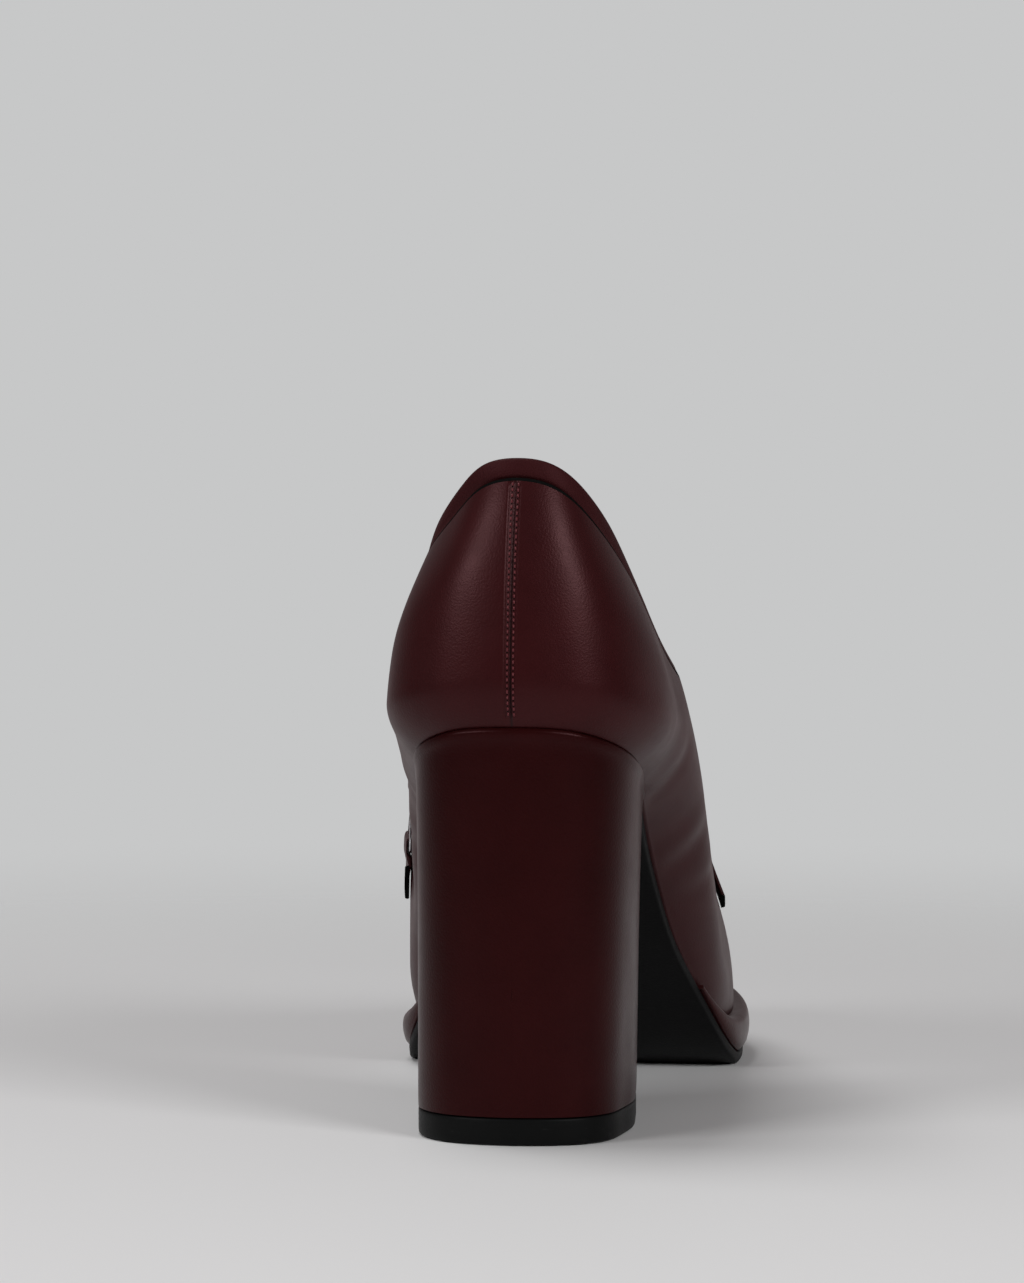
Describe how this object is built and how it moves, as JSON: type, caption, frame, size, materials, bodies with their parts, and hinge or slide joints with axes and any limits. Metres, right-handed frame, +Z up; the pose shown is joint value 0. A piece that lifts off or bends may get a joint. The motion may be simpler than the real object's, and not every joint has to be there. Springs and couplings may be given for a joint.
{
  "type": "loafer pump",
  "caption": "Burgundy leather loafer pump for the right foot, with a tall covered block heel, low covered platform, bound collar and a ringed saddle strap over the vamp.",
  "frame": {"origin": "on the floor under the middle of the shoe's bounding box", "axes": "+Y from heel to toe, +X to the lateral side (the wearer's right), +Z up from the floor"},
  "size_m": [0.0842, 0.228, 0.1503],
  "materials": {
    "burgundy_leather": "satin, fine grain",
    "collar_leather": "matt",
    "cover_leather": "satin, smooth",
    "strap_leather": "satin, black painted edges",
    "sock_leather": "matt",
    "black_sole": "matt",
    "black_rubber": "satin",
    "silver_metal": "polished"
  },
  "bodies": {
    "root": {"upper": "burgundy_leather", "topline_binding": "collar_leather", "insole": "sock_leather", "outsole": "black_sole", "platform": "cover_leather", "heel_block": "cover_leather", "top_lift": "black_rubber", "saddle_strap": "strap_leather", "ring_lateral": "silver_metal", "ring_medial": "silver_metal", "tab_lateral": "strap_leather", "tab_medial": "strap_leather"}
  },
  "joints": []
}
